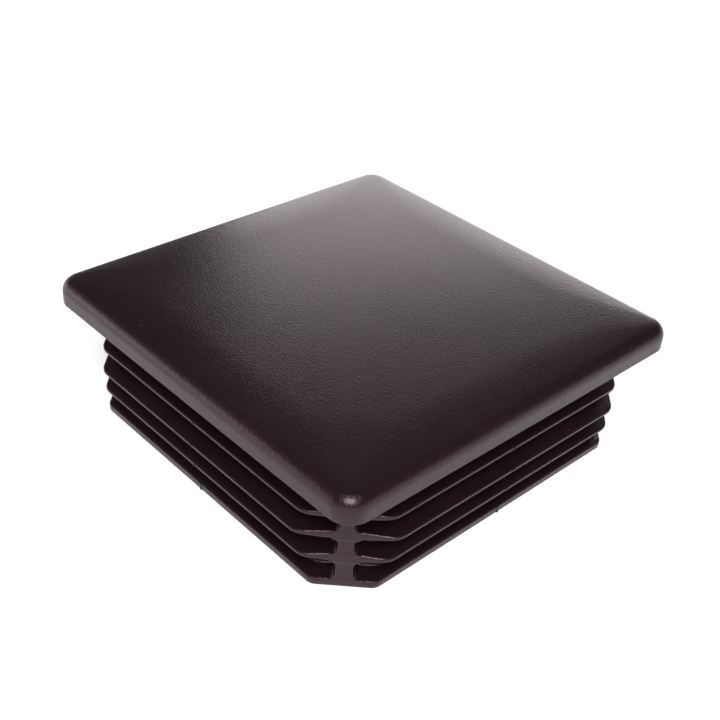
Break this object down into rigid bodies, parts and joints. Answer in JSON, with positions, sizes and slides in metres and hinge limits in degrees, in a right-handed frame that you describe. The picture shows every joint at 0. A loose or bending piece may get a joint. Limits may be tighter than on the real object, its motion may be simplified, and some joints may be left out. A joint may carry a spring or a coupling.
{
  "type": "tube end cap",
  "caption": "Square ribbed end cap of dark moulded plastic: a low crowned head over a hollow skirt whose thin fins press into the end of a square tube.",
  "frame": {"origin": "on the tube's axis, in the plane of the head's underside, which seats on the end of the tube", "axes": "+Z along the tube's axis and out of the tube, +X and +Y square to the tube's sides"},
  "size_m": [0.05, 0.05, 0.0164],
  "materials": {
    "plastic": "finely grained satin, brownish black"
  },
  "bodies": {
    "root": {"end_cap": "plastic"}
  },
  "joints": []
}
